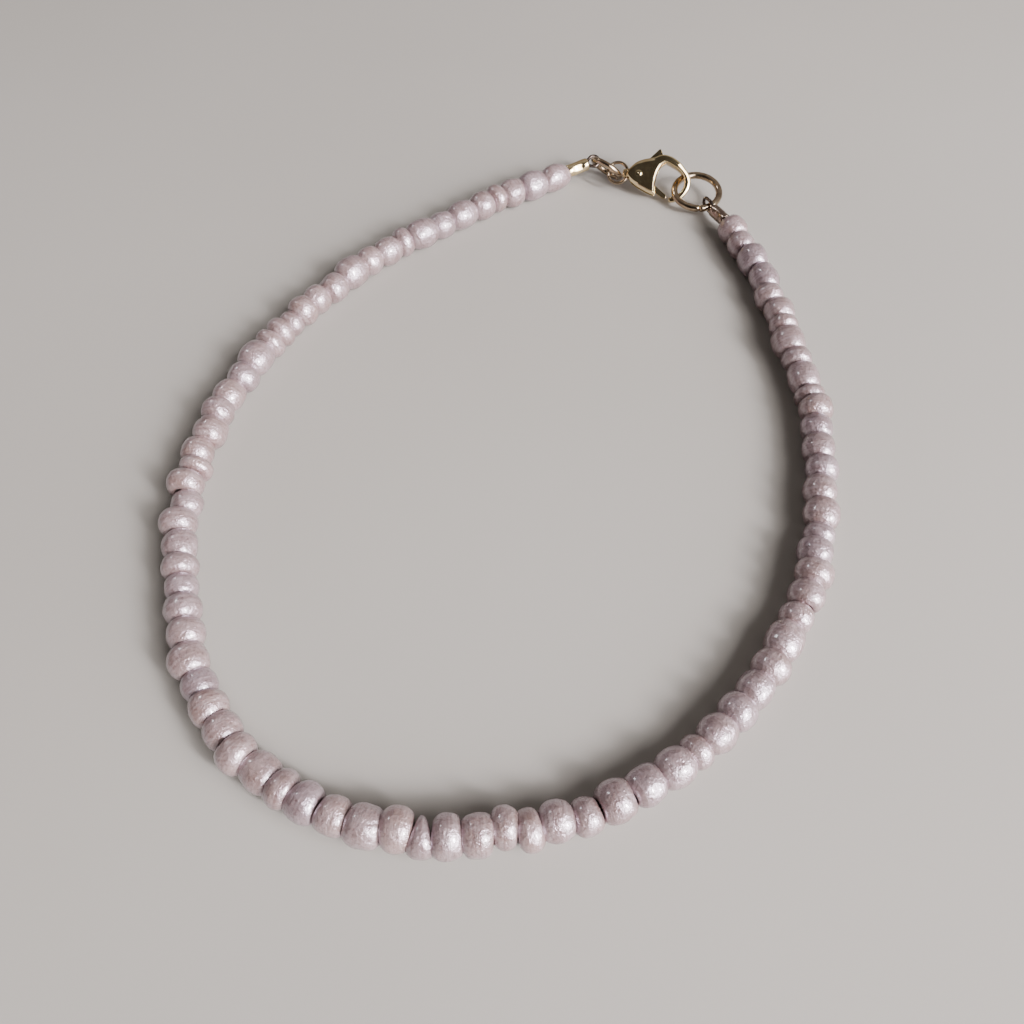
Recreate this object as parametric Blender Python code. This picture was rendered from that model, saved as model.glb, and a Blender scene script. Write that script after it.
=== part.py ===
"""Seed bead bracelet: pale glass beads on a wire, closed by a small claw clasp.

The bracelet lies closed on a surface at z = 0, with +Y pointing at its clasp.
Every length is in metres.
"""
import math

import bmesh
import bpy
from mathutils import Euler, Matrix, Vector

MM = 0.001
SMOOTH_BELOW = math.radians(35.0)   # edges flatter than this shade smooth
BEVEL_ABOVE = math.radians(60.0)    # edges sharper than this are bevelled
THROUGH = 2.5                       # a cutter's length, as a share of the solid that it passes

# Beads
BEAD_DIAMETER = 3.0 * MM
BEAD_SIDES = 12
BEAD_END = 0.55        # radius of a bead's flat end, as a share of its radius
BEAD_SHOULDER = 0.27   # where a bead reaches its full width, as a share of its length
BEAD_SETBACK = 0.065   # how far a bead sits off the line, as a share of BEAD_DIAMETER
NECK_LENGTH = 0.10 * MM
RUN_GAP = 0.06 * MM

# Each form of bead: its length and its diameter, as shares of BEAD_DIAMETER
BEAD_FORMS = {
    "plate": (0.43, 0.96),
    "thin": (0.52, 0.98),
    "chip": (0.51, 0.86),
    "small": (0.62, 0.89),
    "wide": (0.65, 1.03),
    "medium": (0.69, 0.96),
    "long": (0.78, 0.94),
    "full": (0.77, 1.00),
    "barrel": (0.93, 0.97),
    "round": (0.92, 1.05),
}
FORM_LETTERS = {
    "P": "plate", "T": "thin", "C": "chip", "S": "small", "W": "wide",
    "M": "medium", "L": "long", "F": "full", "B": "barrel", "R": "round",
}

# The beads in order from the left crimp: forms, and i or o for a bead set in or out
BEAD_RUNS = (
    ("BRFTFBLRTL", "...o....o."),
    ("MRLMWCTTRM", "..i......i"),
    ("LWFMPWSWLT", "..ioioio.."),
    ("SMMFSMMWLTM", "...o...o..."),
    ("MFWPWWTTMS", "..ioooio.o"),
    ("FLLCLMLMBS", "........ii"),
    ("MWMCFLMLMW", ".o.oo.o..o"),
    ("PBTRTFMBRLF", "...i.oio.i."),
)

# The line that the beads follow, from the left crimp round to the right one, seen from above
BEAD_ROUTE = [
    (2.4 * MM, 31.4 * MM), (-2.8 * MM, 28.1 * MM), (-8.9 * MM, 23.5 * MM),
    (-13.8 * MM, 19.5 * MM), (-18.3 * MM, 14.2 * MM), (-22.0 * MM, 8.2 * MM),
    (-24.6 * MM, 2.1 * MM), (-25.9 * MM, -4.4 * MM), (-26.0 * MM, -10.4 * MM),
    (-24.7 * MM, -16.7 * MM), (-22.6 * MM, -22.8 * MM), (-19.5 * MM, -27.7 * MM),
    (-14.9 * MM, -31.5 * MM), (-9.2 * MM, -33.9 * MM), (-4.1 * MM, -34.3 * MM),
    (1.5 * MM, -33.8 * MM), (6.7 * MM, -32.3 * MM), (12.4 * MM, -29.0 * MM),
    (16.9 * MM, -24.7 * MM), (20.9 * MM, -19.4 * MM), (23.5 * MM, -12.8 * MM),
    (25.2 * MM, -5.7 * MM), (25.9 * MM, 1.1 * MM), (25.3 * MM, 8.6 * MM),
    (24.5 * MM, 15.1 * MM), (23.1 * MM, 21.9 * MM),
]
ROUTE_STEPS = 12

# Wires and rings
LINK_GAP = 0.09 * MM
WIRE_DIAMETER = 0.34 * MM
SMALL_RING_DIAMETER = 3.9 * MM
SMALL_RING_WIRE = 0.60 * MM
SMALL_RING_YAW = math.radians(129.0)
SMALL_RING_DROP = math.radians(12.0)
SMALL_RING_ROLL = math.radians(50.0)
SMALL_RING_TWIST = math.radians(-28.0)   # where the left wire loop crosses it, from its far end
SMALL_RING_GAP = 0.06 * MM               # from its wire's line to the claw ring's middle
CLAW_RING_WIRE = 0.42 * MM
CLAW_RING_ROOM = 0.96 * MM               # left inside it for the tail eye, beside the small ring
CLAW_RING_DIAMETER = SMALL_RING_WIRE + CLAW_RING_ROOM + 2.0 * CLAW_RING_WIRE
JUMP_RING_DIAMETER = 5.4 * MM
JUMP_RING_WIRE = 0.72 * MM
JUMP_RING_TWIST = math.radians(-37.0)    # where the right wire loop crosses it
RING_STEPS = 32
WIRE_SIDES = 10

# Crimps and wire loops
LEG_SPACING = 0.46 * MM
CRIMP_FIT = 0.07 * MM         # between the wire's legs and the crimp's bore
CRIMP_WALL = 0.18 * MM
CRIMP_BORE = LEG_SPACING + WIRE_DIAMETER + 2.0 * CRIMP_FIT
CRIMP_DIAMETER = CRIMP_BORE + 2.0 * CRIMP_WALL
CRIMP_LENGTH = 2.4 * MM
CRIMP_SIDES = 20
LEFT_CRIMP_YAW = math.radians(203.0)
LEFT_CRIMP_RISE = math.radians(-8.0)
RIGHT_CRIMP_YAW = math.radians(-68.0)
RIGHT_CRIMP_RISE = math.radians(7.0)
RIGHT_LOOP_REACH = 1.1 * MM   # from the jump ring's wire to the loop's far end
LEG_DEPTH = 0.80              # how far the wire reaches into a crimp, as a share of its length
LOOP_MOUTH_GAP = 0.24 * MM    # from the loop's widest part to the crimp
LOOP_SHOULDER = (0.45, 0.70)  # along and across, where the loop narrows to the crimp
LOOP_STRAIGHT = 0.25          # length of its straight sides, as a share of its half height
CRIMP_GAP = 0.20 * MM         # from a crimp to the bead beside it
LOOP_STEPS = 8

# Claw clasp, laid out in its own plane: x along it, y across it, from its lever's pivot
PIVOT = Vector((13.42 * MM, 32.2 * MM, 2.12 * MM))
CLAW_TILT = math.radians(44.0)
CLAW_YAW = math.radians(-8.0)
CLAW_THICKNESS = 1.5 * MM
CLAW_BEVEL = 0.22 * MM
TAIL_LENGTH = 1.2 * MM
HALF_WIDTH = 2.0 * MM
HOOK_REACH = 3.42 * MM      # from the pivot to the middle of the hook's curve
HOOK_DROP = 0.42 * MM
HOOK_RADIUS = 1.87 * MM
HOOK_WIDTH = 0.66 * MM
HOOK_ROOT_THICKNESS = 1.20 * MM
HOOK_THICKNESS = 0.70 * MM
HOOK_TIP_THICKNESS = 0.46 * MM
HOOK_START_ANGLE = math.radians(72.0)
HOOK_TIP_ANGLE = math.radians(-82.0)
HOOK_STEPS = 12
HOOK_SIDES = 8
HOOK_TAPER_STEPS = 6        # sections from its root to its full slenderness
RING_UNDER_ANGLE = math.radians(25.0)    # the hook passes over the jump ring here
RING_OVER_ANGLE = math.radians(-64.0)    # and under it here
RING_CLEARANCE = 0.23 * MM
TAIL_EYE_RADIUS = 0.46 * MM
TAIL_EYE_WIDTH = 0.80 * MM
EYE_CLEARANCE = 0.06 * MM
EYE_SIDES = 16

# Hook's root inside the body: along as a share of the hook's reach, across of the half width
HOOK_ROOT = ((0.47, 0.68), (0.68, 0.84), (0.90, 0.80))

# Body's outline: along as a share of the hook's reach, or of the tail's length where
# negative, and across as a share of the half width
BODY_OUTLINE = (
    (-0.98, 0.12), (-0.69, 0.36), (-0.25, 0.60), (0.12, 0.76), (0.36, 0.86), (0.60, 0.97),
    (0.74, 1.00), (0.86, 0.93), (0.84, 0.66), (0.68, 0.42), (0.59, 0.05), (0.56, -0.35),
    (0.57, -0.72), (0.58, -0.96), (0.50, -0.985), (0.34, -0.90), (0.10, -0.73),
    (-0.42, -0.50), (-0.90, -0.22), (-1.02, -0.08),
)

# Lever, its pin and the slot that it swings in
LEVER_THICKNESS = 0.50 * MM
SLOT_GAP = 0.06 * MM         # on each side of the lever
SLOT_WIDTH = LEVER_THICKNESS + 2.0 * SLOT_GAP
LEVER_SWING = math.radians(14.0)
LEVER_BEVEL = 0.08 * MM
PIN_DIAMETER = 0.60 * MM
PIN_GAP = 0.05 * MM
PIN_PROUD = 0.08 * MM
PIN_SIDES = 20
HUB_RADIUS = 0.62 * MM
HUB_START = math.radians(120.0)
HUB_END = math.radians(264.0)
HUB_STEPS = 4
GATE_LENGTH = 3.88 * MM      # from the pivot to the gate's tip
GATE_ANGLE = math.radians(-34.0)
GATE_WIDTH = 0.46 * MM
TAB_REACH = 3.35 * MM        # from the pivot to the thumb tab's tip
TAB_ANGLE = math.radians(52.0)
TAB_WIDTH = 0.72 * MM
SLOT_MARGIN = 0.12 * MM
SLOT_BACK_MARGIN = 0.18 * MM

# Gate and tab outlines: along as a share of the part's length, across as a share of its width
GATE_OUTLINE = ((0.09, -1.15), (0.94, -0.50), (1.00, 0.00), (0.94, 0.50), (0.24, 0.55))
TAB_WAIST = (0.85, -0.98)
TAB_BACK = (0.55, 0.33)
TAB_OUTLINE = ((0.23, -0.50), TAB_WAIST, (0.90, -1.00), (0.99, -0.16), (1.00, 0.02), (0.97, 0.16), TAB_BACK)

# Slot: along as a share of the hook's reach, across as a share of the half width
SLOT_GATE_START = 0.15
SLOT_GATE_END = 0.86
SLOT_TOP = 0.10
SLOT_ELBOW = (0.52, 0.42)
SLOT_ROOT = 0.68
SLOT_FAR = 1.60              # past the body's edge


def material(name, color, roughness, metallic):
    """A plain material of one colour."""
    made = bpy.data.materials.new(name)
    made.use_nodes = True
    shader = made.node_tree.nodes["Principled BSDF"]
    shader.inputs["Base Color"].default_value = (*color, 1.0)
    shader.inputs["Roughness"].default_value = roughness
    shader.inputs["Metallic"].default_value = metallic
    return made


def add_object(name, mesh, look, place=None, parent=None):
    """Puts a mesh in the scene under its own name, with one material."""
    mesh.materials.append(look)
    mesh.shade_smooth()
    mesh.set_sharp_from_angle(angle=SMOOTH_BELOW)
    made = bpy.data.objects.new(name, mesh)
    bpy.context.collection.objects.link(made)
    if parent is not None:
        made.parent = parent
    if place is not None:
        made.matrix_local = place
    return made


def finish_mesh(name, bm):
    """Turns a bmesh into a mesh whose faces point out."""
    bmesh.ops.recalc_face_normals(bm, faces=bm.faces)
    mesh = bpy.data.meshes.new(name)
    bm.to_mesh(mesh)
    bm.free()
    return mesh


def skin(name, sections, closed=False):
    """A solid skinned over sections with the same number of points each."""
    bm = bmesh.new()
    rings = [[bm.verts.new(point) for point in section] for section in sections]
    pairs = list(zip(rings, rings[1:]))
    if closed:
        pairs.append((rings[-1], rings[0]))
    for first, second in pairs:
        for index in range(len(first)):
            after = (index + 1) % len(first)
            bm.faces.new((first[index], first[after], second[after], second[index]))
    if not closed:
        bm.faces.new(rings[0])
        bm.faces.new(rings[-1])
    return finish_mesh(name, bm)


def circle(center, across, up, radius, sides, start=0.0):
    """Points of a circle in the plane of two unit vectors."""
    points = []
    for index in range(sides):
        angle = start + 2.0 * math.pi * index / sides
        points.append(center + radius * (math.cos(angle) * across + math.sin(angle) * up))
    return points


def prism(name, outline, thickness):
    """A flat plate of the outline's shape, centred on its own plane."""
    low = [Vector((x, y, -thickness / 2.0)) for x, y in outline]
    high = [Vector((x, y, thickness / 2.0)) for x, y in outline]
    return skin(name, [low, high])


def tube(name, path, radii, sides):
    """A round wire along a path, with flat ends."""
    sections = []
    tangent = (path[1] - path[0]).normalized()
    side = tangent.orthogonal().normalized()
    for index, point in enumerate(path):
        before = path[max(index - 1, 0)]
        after = path[min(index + 1, len(path) - 1)]
        tangent = (after - before).normalized()
        side = (side - side.dot(tangent) * tangent).normalized()
        sections.append(circle(point, side, tangent.cross(side), radii[index], sides))
    return skin(name, sections)


def ring_mesh(name, diameter, wire):
    """A round ring of round wire, lying in its own XY plane."""
    middle = (diameter - wire) / 2.0
    sections = []
    for index in range(RING_STEPS):
        angle = 2.0 * math.pi * index / RING_STEPS
        outward = Vector((math.cos(angle), math.sin(angle), 0.0))
        sections.append(circle(middle * outward, outward, Vector((0, 0, 1)), wire / 2.0, WIRE_SIDES))
    return skin(name, sections, closed=True)


def frame(origin, x_axis, y_hint):
    """A placement whose X axis is given and whose Y axis is as near as can be to a hint."""
    x_axis = x_axis.normalized()
    z_axis = x_axis.cross(y_hint).normalized()
    y_axis = z_axis.cross(x_axis)
    turn = Matrix((x_axis, y_axis, z_axis)).transposed().to_4x4()
    return Matrix.Translation(origin) @ turn


def heading(yaw, rise=0.0):
    """A unit vector at an angle in plan and an angle above the horizontal."""
    return Vector((math.cos(yaw) * math.cos(rise), math.sin(yaw) * math.cos(rise), math.sin(rise)))


def combine(target, other, operation):
    """Cuts a solid by another one, or joins it, and applies the result."""
    step = target.modifiers.new(operation.title(), "BOOLEAN")
    step.operation = operation
    step.object = other
    step.solver = "EXACT"
    bpy.context.view_layer.update()
    evaluated = target.evaluated_get(bpy.context.evaluated_depsgraph_get())
    result = bpy.data.meshes.new_from_object(evaluated)
    target.modifiers.clear()
    old = target.data
    target.data = result
    bpy.data.meshes.remove(old)
    bpy.data.objects.remove(other)


def bevel_edges(mesh, width):
    """Cuts a slope along a mesh's sharp edges."""
    bm = bmesh.new()
    bm.from_mesh(mesh)
    edges = [edge for edge in bm.edges if edge.calc_face_angle(0.0) > BEVEL_ABOVE]
    bmesh.ops.bevel(bm, geom=edges, offset=width, segments=1, affect="EDGES", clamp_overlap=True)
    bm.to_mesh(mesh)
    bm.free()


def route_curve(points):
    """Points close together on a smooth curve through the route's own points."""
    curve = []
    padded = [points[0]] + points + [points[-1]]
    for first, second, third, fourth in zip(padded, padded[1:], padded[2:], padded[3:]):
        for step in range(ROUTE_STEPS):
            t = step / ROUTE_STEPS
            curve.append(0.5 * (2.0 * second + t * (third - first)
                                + t * t * (2.0 * first - 5.0 * second + 4.0 * third - fourth)
                                + t ** 3 * (3.0 * second - first - 3.0 * third + fourth)))
    curve.append(points[-1])
    return curve


def walk(curve, distance):
    """The point and the direction at a distance along a curve."""
    for before, after in zip(curve, curve[1:]):
        span = after - before
        if distance <= span.length or after is curve[-1]:
            return before + span * (distance / span.length), span.normalized()
        distance -= span.length


def curve_length(curve):
    """The length along a curve."""
    return sum((after - before).length for before, after in zip(curve, curve[1:]))


def bead_sections(curve, start, length, diameter, setback):
    """The four sections of one bead, standing on z = 0 by its lowest flat."""
    radius = diameter / 2.0
    half_side = math.pi / BEAD_SIDES
    center, direction = walk(curve, start + length / 2.0)
    outward = Vector((direction.y, -direction.x, 0.0))
    shift = setback * outward + Vector((0.0, 0.0, radius * math.cos(half_side)))
    stations = (
        (NECK_LENGTH / 2.0, BEAD_END), (BEAD_SHOULDER * length, 1.0),
        (length - BEAD_SHOULDER * length, 1.0), (length - NECK_LENGTH / 2.0, BEAD_END),
    )
    sections = []
    for along, share in stations:
        point, _ = walk(curve, start + along)
        sections.append(circle(point + shift, outward, Vector((0.0, 0.0, 1.0)),
                               share * radius, BEAD_SIDES, half_side))
    return sections


def add_bead_runs(start, end, look):
    """The beads, joined along their wire in runs that follow the route between two ends."""
    points = [start] + [Vector((x, y, 0.0)) for x, y in BEAD_ROUTE] + [end]
    curve = route_curve(points)
    letters = "".join(forms for forms, _ in BEAD_RUNS)
    shares = sum(BEAD_FORMS[FORM_LETTERS[letter]][0] for letter in letters)
    gaps = RUN_GAP * (len(BEAD_RUNS) - 1)
    unit = (curve_length(curve) - gaps) / shares
    position = 0.0
    for number, (forms, marks) in enumerate(BEAD_RUNS, start=1):
        sections = []
        for letter, mark in zip(forms, marks):
            length_share, diameter_share = BEAD_FORMS[FORM_LETTERS[letter]]
            setback = {"i": -1.0, ".": 0.0, "o": 1.0}[mark] * BEAD_SETBACK * BEAD_DIAMETER
            sections += bead_sections(curve, position, length_share * unit,
                                      diameter_share * BEAD_DIAMETER, setback)
            position += length_share * unit
        position += RUN_GAP
        name = f"bead_run_{number}"
        add_object(name, skin(name, sections), look)


def loop_path(eye, crimp_way, plane_way, half_height, reach, mouth):
    """A wire's path out of a crimp, round an eye and back in, legs side by side."""
    inside = mouth + LEG_DEPTH * CRIMP_LENGTH
    leg = LEG_SPACING / 2.0
    straight = LOOP_STRAIGHT * half_height
    shoulder = mouth - LOOP_SHOULDER[0] * (mouth - straight)
    side = [(inside, leg), (mouth, leg), (shoulder, LOOP_SHOULDER[1] * half_height),
            (straight, half_height)]
    bend = []
    middle = half_height - reach
    for step in range(LOOP_STEPS + 1):
        angle = math.pi / 2.0 + math.pi * step / LOOP_STEPS
        bend.append((middle + half_height * math.cos(angle), half_height * math.sin(angle)))
    back = [(along, -up) for along, up in reversed(side)]
    return [eye + along * crimp_way + up * plane_way for along, up in side + bend + back]


def add_crimp_end(label, eye, ring_way, ring_wire, crimp_way, reach, wire_look, crimp_look):
    """A wire loop through a ring and the crimp that holds it; returns where the beads start."""
    plane_way = ring_way.cross(crimp_way).normalized()
    half_height = ring_wire / 2.0 + WIRE_DIAMETER / 2.0 + LINK_GAP
    mouth = half_height + LOOP_MOUTH_GAP
    path = loop_path(eye, crimp_way, plane_way, half_height, max(reach, half_height), mouth)
    name = f"wire_loop_{label}"
    add_object(name, tube(name, path, [WIRE_DIAMETER / 2.0] * len(path), WIRE_SIDES), wire_look)
    near = eye + mouth * crimp_way
    far = near + CRIMP_LENGTH * crimp_way
    across = plane_way
    up = crimp_way.cross(plane_way)
    outer = CRIMP_DIAMETER / 2.0
    inner = CRIMP_BORE / 2.0
    sections = [circle(center, across, up, radius, CRIMP_SIDES)
                for center, radius in ((near, outer), (far, outer), (far, inner), (near, inner))]
    name = f"crimp_{label}"
    add_object(name, skin(name, sections, closed=True), crimp_look)
    return far + CRIMP_GAP * crimp_way


def hook_middle():
    """The middle of the hook's curve, in the claw's plane."""
    return Vector((HOOK_REACH, -HOOK_DROP, 0.0))


def hook_point(angle, height=0.0):
    """A point on the hook's centre line, in the claw's plane or above it."""
    return hook_middle() + Vector((HOOK_RADIUS * math.cos(angle), HOOK_RADIUS * math.sin(angle), height))


def hook_mesh():
    """The hook: a bar from inside the body round to its thinner tip."""
    path = [Vector((along * HOOK_REACH, across * HALF_WIDTH, 0.0)) for along, across in HOOK_ROOT]
    for step in range(HOOK_STEPS + 1):
        turn = (HOOK_TIP_ANGLE - HOOK_START_ANGLE) * step / HOOK_STEPS
        path.append(hook_point(HOOK_START_ANGLE + turn))
    half_corner = math.pi / HOOK_SIDES
    reach = 0.5 / math.cos(half_corner)
    sections = []
    for index, point in enumerate(path):
        tangent = (path[min(index + 1, len(path) - 1)] - path[max(index - 1, 0)]).normalized()
        side = Vector((-tangent.y, tangent.x, 0.0))
        if index < HOOK_TAPER_STEPS:
            share = index / HOOK_TAPER_STEPS
            thick = HOOK_ROOT_THICKNESS + (HOOK_THICKNESS - HOOK_ROOT_THICKNESS) * share
        else:
            share = (index - HOOK_TAPER_STEPS) / (len(path) - 1 - HOOK_TAPER_STEPS)
            thick = HOOK_THICKNESS + (HOOK_TIP_THICKNESS - HOOK_THICKNESS) * share
        section = []
        for corner in range(HOOK_SIDES):
            angle = half_corner * (1.0 + 2.0 * corner)
            section.append(point + HOOK_WIDTH * reach * math.cos(angle) * side
                           + Vector((0.0, 0.0, thick * reach * math.sin(angle))))
        sections.append(section)
    return skin("hook", sections)


def body_outline():
    """The body's outline in the claw's plane, counterclockwise."""
    outline = []
    for along, across in reversed(BODY_OUTLINE):
        scale = TAIL_LENGTH if along < 0.0 else HOOK_REACH
        outline.append((along * scale, across * HALF_WIDTH))
    return outline


def turned(angle, radius):
    """A point at an angle and a distance from the pivot."""
    return (radius * math.cos(angle), radius * math.sin(angle))


def arm_point(angle, length, width, share):
    """A point of an arm that leaves the pivot at an angle, from its share of length and width."""
    way = Vector(turned(angle, 1.0))
    side = Vector((-way.y, way.x))
    return share[0] * length * way + share[1] * width * side


def lever_outline():
    """The lever: the gate, the thumb tab and the hub round the pin, counterclockwise."""
    points = [arm_point(GATE_ANGLE, GATE_LENGTH, GATE_WIDTH, share) for share in GATE_OUTLINE]
    points += [arm_point(TAB_ANGLE, TAB_REACH, TAB_WIDTH, share) for share in TAB_OUTLINE]
    for step in range(HUB_STEPS + 1):
        angle = HUB_START + (HUB_END - HUB_START) * step / HUB_STEPS
        points.append(Vector(turned(angle, HUB_RADIUS)))
    return [(point.x, point.y) for point in points]


def slot_outline():
    """The slot's outline: open past the body's edges where the lever swings, closed at the
    tail and at the hook's root."""
    far = SLOT_FAR * HALF_WIDTH
    hub = HUB_RADIUS + SLOT_MARGIN
    end = SLOT_GATE_END * HOOK_REACH
    root = arm_point(TAB_ANGLE, TAB_REACH, TAB_WIDTH, TAB_WAIST).x + SLOT_MARGIN
    back = arm_point(TAB_ANGLE + LEVER_SWING, TAB_REACH, TAB_WIDTH, TAB_BACK)
    swung = back.x - SLOT_BACK_MARGIN
    return [
        (-hub, -hub), (SLOT_GATE_START * HOOK_REACH, -far), (end, -far),
        (end, SLOT_TOP * HALF_WIDTH), (SLOT_ELBOW[0] * HOOK_REACH, SLOT_ELBOW[1] * HALF_WIDTH),
        (root, SLOT_ROOT * HALF_WIDTH), (root, far), (swung, far), (swung, back.y), (-hub, hub),
    ]


def cylinder_mesh(name, radius, length, sides):
    """An upright cylinder centred on its origin."""
    ends = [circle(Vector((0.0, 0.0, end * length / 2.0)), Vector((1, 0, 0)), Vector((0, 1, 0)),
                   radius, sides) for end in (-1.0, 1.0)]
    return skin(name, ends)


def add_claw(look):
    """The clasp's body, pin and lever, on an empty at the pivot."""
    holder = bpy.data.objects.new("claw_frame", None)
    bpy.context.collection.objects.link(holder)
    holder.location = PIVOT
    holder.rotation_euler = Euler((CLAW_TILT, 0.0, CLAW_YAW))
    bpy.context.view_layer.update()

    plate = prism("claw_body", body_outline(), CLAW_THICKNESS)
    bevel_edges(plate, CLAW_BEVEL)
    body = add_object("claw_body", plate, look)
    eye_center = Vector((-TAIL_LENGTH, 0.0, 0.0))
    eye_turn = Matrix.Translation(eye_center) @ Matrix.Rotation(math.pi / 2.0, 4, "X")
    eye = cylinder_mesh("eye", TAIL_EYE_RADIUS, TAIL_EYE_WIDTH, EYE_SIDES)
    combine(body, add_object("eye", eye, look, eye_turn), "UNION")
    combine(body, add_object("hook", hook_mesh(), look), "UNION")
    slot = prism("slot", slot_outline(), SLOT_WIDTH)
    combine(body, add_object("slot", slot, look), "DIFFERENCE")
    bore = cylinder_mesh("bore", eye_bore_radius(), THROUGH * TAIL_EYE_WIDTH, EYE_SIDES)
    combine(body, add_object("bore", bore, look, eye_turn), "DIFFERENCE")
    hole = cylinder_mesh("hole", (PIN_DIAMETER + PIN_GAP) / 2.0, THROUGH * CLAW_THICKNESS, PIN_SIDES)
    combine(body, add_object("hole", hole, look), "DIFFERENCE")
    body.parent = holder

    pin_length = CLAW_THICKNESS + 2.0 * PIN_PROUD
    pin = cylinder_mesh("claw_pin", PIN_DIAMETER / 2.0, pin_length, PIN_SIDES)
    add_object("claw_pin", pin, look, parent=holder)

    plate = prism("claw_lever", lever_outline(), LEVER_THICKNESS)
    bevel_edges(plate, LEVER_BEVEL)
    lever = add_object("claw_lever", plate, look)
    hole = cylinder_mesh("lever_hole", PIN_DIAMETER / 2.0 + PIN_GAP, THROUGH * LEVER_THICKNESS, PIN_SIDES)
    combine(lever, add_object("lever_hole", hole, look), "DIFFERENCE")
    lever.parent = holder
    return holder.matrix_world.copy()


def eye_bore_radius():
    """The tail eye's bore, which lets the claw's curved ring through."""
    return CLAW_RING_WIRE / 2.0 + eye_sagitta() / 2.0 + EYE_CLEARANCE


def eye_sagitta():
    """How far the claw's ring curves away inside the tail eye."""
    middle = (CLAW_RING_DIAMETER - CLAW_RING_WIRE) / 2.0
    return middle - math.sqrt(middle ** 2 - (TAIL_EYE_WIDTH / 2.0) ** 2)


def add_left_links(claw, ring_look, wire_look, crimp_look):
    """The claw's ring, the small ring, and the left wire loop and crimp."""
    claw_middle = (CLAW_RING_DIAMETER - CLAW_RING_WIRE) / 2.0
    along = -TAIL_LENGTH - claw_middle + eye_sagitta() / 2.0
    place = claw @ Matrix.Translation((along, 0.0, 0.0))
    add_object("claw_ring", ring_mesh("claw_ring", CLAW_RING_DIAMETER, CLAW_RING_WIRE), ring_look, place)

    small_middle = (SMALL_RING_DIAMETER - SMALL_RING_WIRE) / 2.0
    way = heading(SMALL_RING_YAW, -SMALL_RING_DROP)
    level = heading(SMALL_RING_YAW - math.pi / 2.0)
    ring_side = Matrix.Rotation(SMALL_RING_ROLL, 3, way) @ level
    clear_of_eye = claw @ Vector((along - SMALL_RING_GAP, 0.0, 0.0))
    center = clear_of_eye + small_middle * way
    ring = ring_mesh("small_ring", SMALL_RING_DIAMETER, SMALL_RING_WIRE)
    add_object("small_ring", ring, ring_look, frame(center, way, ring_side))
    outward = math.cos(SMALL_RING_TWIST) * way + math.sin(SMALL_RING_TWIST) * ring_side
    ring_way = math.cos(SMALL_RING_TWIST) * ring_side - math.sin(SMALL_RING_TWIST) * way
    return add_crimp_end("left", center + small_middle * outward, ring_way, SMALL_RING_WIRE,
                         heading(LEFT_CRIMP_YAW, LEFT_CRIMP_RISE), 0.0, wire_look, crimp_look)


def jump_ring_place(claw):
    """Where the jump ring lies: under the hook at one point and over it at another."""
    under = HOOK_THICKNESS / 2.0 + JUMP_RING_WIRE / 2.0 + RING_CLEARANCE
    over = HOOK_TIP_THICKNESS / 2.0 + JUMP_RING_WIRE / 2.0 + RING_CLEARANCE
    far = claw @ hook_point(RING_UNDER_ANGLE, -under)
    near = claw @ hook_point(RING_OVER_ANGLE, over)
    middle = (JUMP_RING_DIAMETER - JUMP_RING_WIRE) / 2.0
    chord = far - near
    place = frame((far + near) / 2.0, chord, -(claw.to_3x3() @ Vector((1.0, 0.0, 0.0))))
    offset = math.sqrt(middle ** 2 - (chord.length / 2.0) ** 2)
    return place @ Matrix.Translation((0.0, -offset, 0.0))


def add_right_links(claw, ring_look, wire_look, crimp_look):
    """The jump ring, and the right wire loop and crimp."""
    place = jump_ring_place(claw)
    ring = ring_mesh("jump_ring", JUMP_RING_DIAMETER, JUMP_RING_WIRE)
    add_object("jump_ring", ring, ring_look, place)
    middle = (JUMP_RING_DIAMETER - JUMP_RING_WIRE) / 2.0
    outward = Vector((math.sin(JUMP_RING_TWIST), -math.cos(JUMP_RING_TWIST), 0.0))
    ring_way = place.to_3x3() @ Vector((outward.y, -outward.x, 0.0))
    crimp_way = heading(RIGHT_CRIMP_YAW, RIGHT_CRIMP_RISE)
    return add_crimp_end("right", place @ (middle * outward), ring_way, JUMP_RING_WIRE,
                         crimp_way, RIGHT_LOOP_REACH, wire_look, crimp_look)


def main():
    for old in list(bpy.data.objects):
        bpy.data.objects.remove(old)
    glass = material("lustre_glass", (0.62, 0.50, 0.48), 0.18, 0.0)
    gold = material("gold_metal", (0.72, 0.58, 0.34), 0.16, 1.0)
    dark_gold = material("wire_metal", (0.32, 0.27, 0.23), 0.25, 1.0)

    claw = add_claw(gold)
    start = add_left_links(claw, gold, dark_gold, gold)
    end = add_right_links(claw, gold, dark_gold, gold)
    for point in (start, end):
        point.z = 0.0
    add_bead_runs(start, end, glass)


main()
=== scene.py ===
"""Looks for the seed bead bracelet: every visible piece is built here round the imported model.

Lengths are in metres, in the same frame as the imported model: z = 0 is the surface that the
bracelet lies on and +Y points at its clasp.
"""
import math
import random

import bmesh
import bpy
from mathutils import Euler, Matrix, Vector, noise


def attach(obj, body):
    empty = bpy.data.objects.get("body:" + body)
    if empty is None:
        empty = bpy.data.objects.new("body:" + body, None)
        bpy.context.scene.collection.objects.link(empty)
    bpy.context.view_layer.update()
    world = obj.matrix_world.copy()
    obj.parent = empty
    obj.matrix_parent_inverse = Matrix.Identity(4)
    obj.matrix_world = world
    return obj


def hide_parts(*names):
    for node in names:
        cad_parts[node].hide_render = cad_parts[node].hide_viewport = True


MM = 0.001
ACROSS = Vector((1.0, 0.0, 0.0))
UPWARD = Vector((0.0, 1.0, 0.0))
BODY = "bracelet"
LEVER = "lever"

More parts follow.
